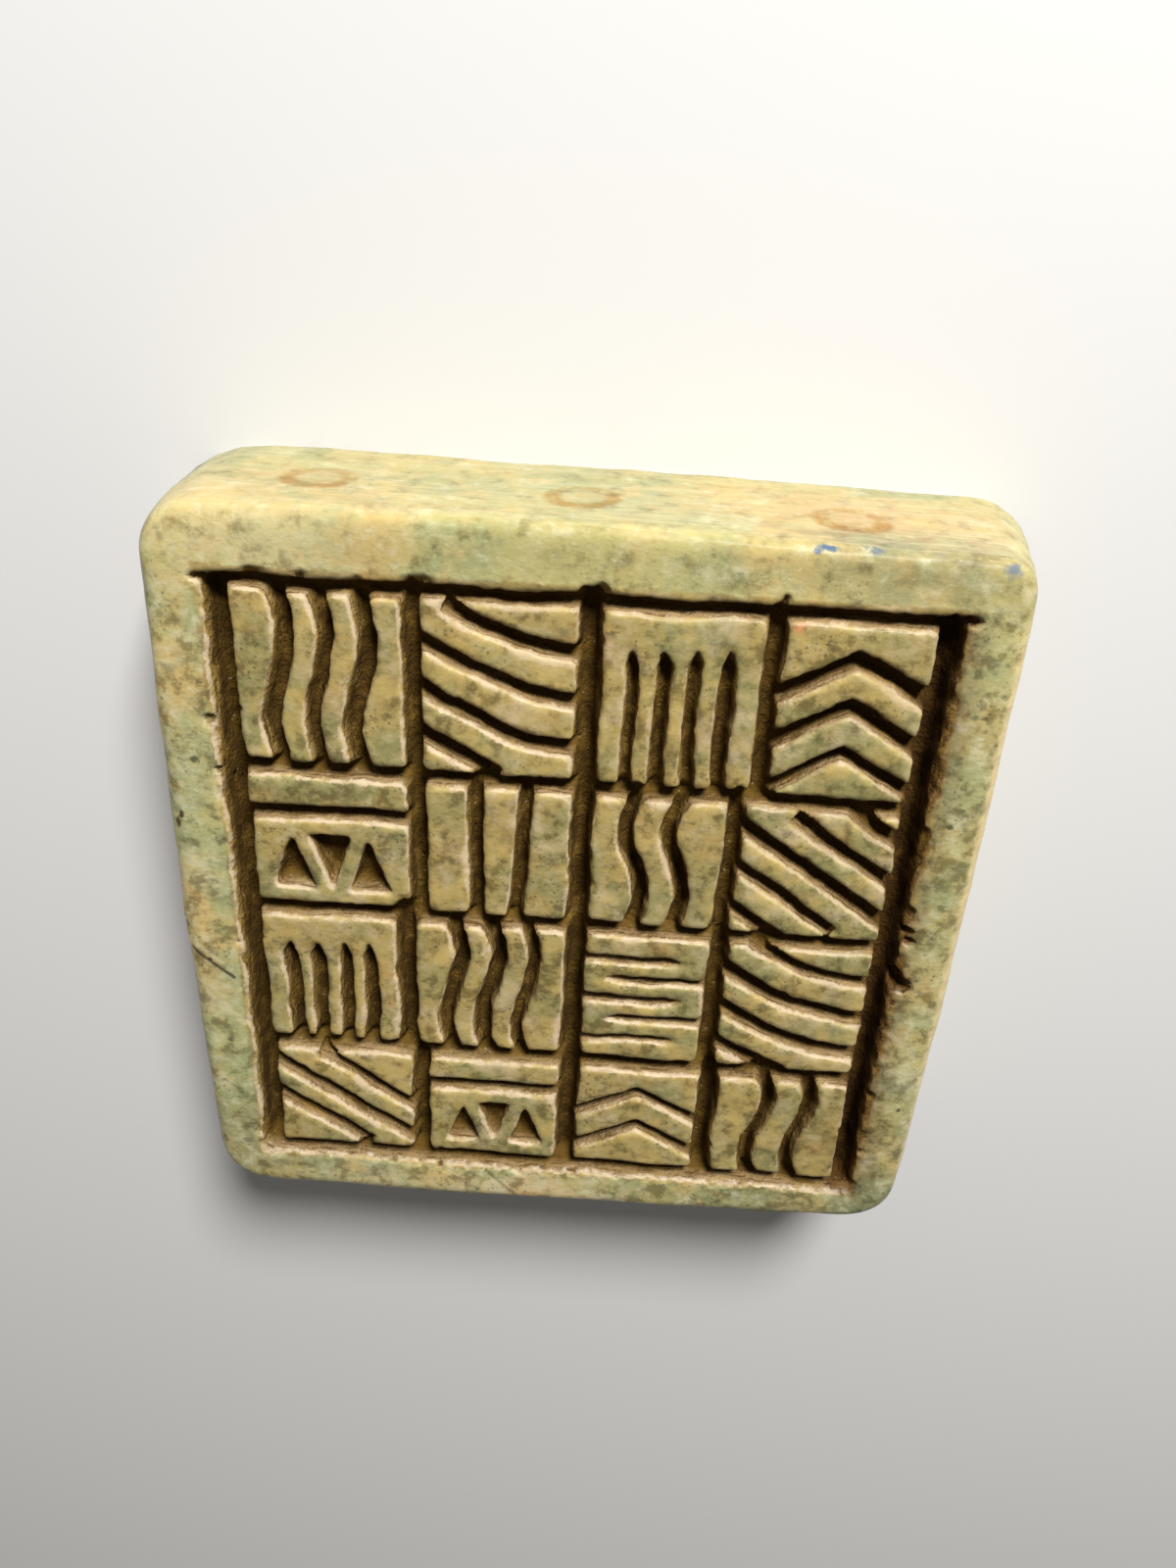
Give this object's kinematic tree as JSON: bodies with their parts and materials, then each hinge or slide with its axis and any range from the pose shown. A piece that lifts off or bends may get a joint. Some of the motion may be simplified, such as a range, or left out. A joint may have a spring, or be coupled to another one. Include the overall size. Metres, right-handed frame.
{
  "type": "stone stamp seal",
  "caption": "Thick, nearly square slab of soft green stone with a raised border around rows of carved strokes, for pressing a mark into clay, wax or ink.",
  "frame": {"origin": "middle of the slab's footprint, on the plane of its flat back", "axes": "+Z out of the carved face, +Y towards the side with the drilled rings, +X to the right as the carving is seen"},
  "size_m": [0.0572, 0.0539, 0.013],
  "materials": {
    "sage_stone": "pale sage green soft stone with tan clouds and dark specks, waxy satin where handled, matt and dark in the cuts"
  },
  "bodies": {
    "root": {"stamp_seal": "sage_stone"}
  },
  "joints": []
}
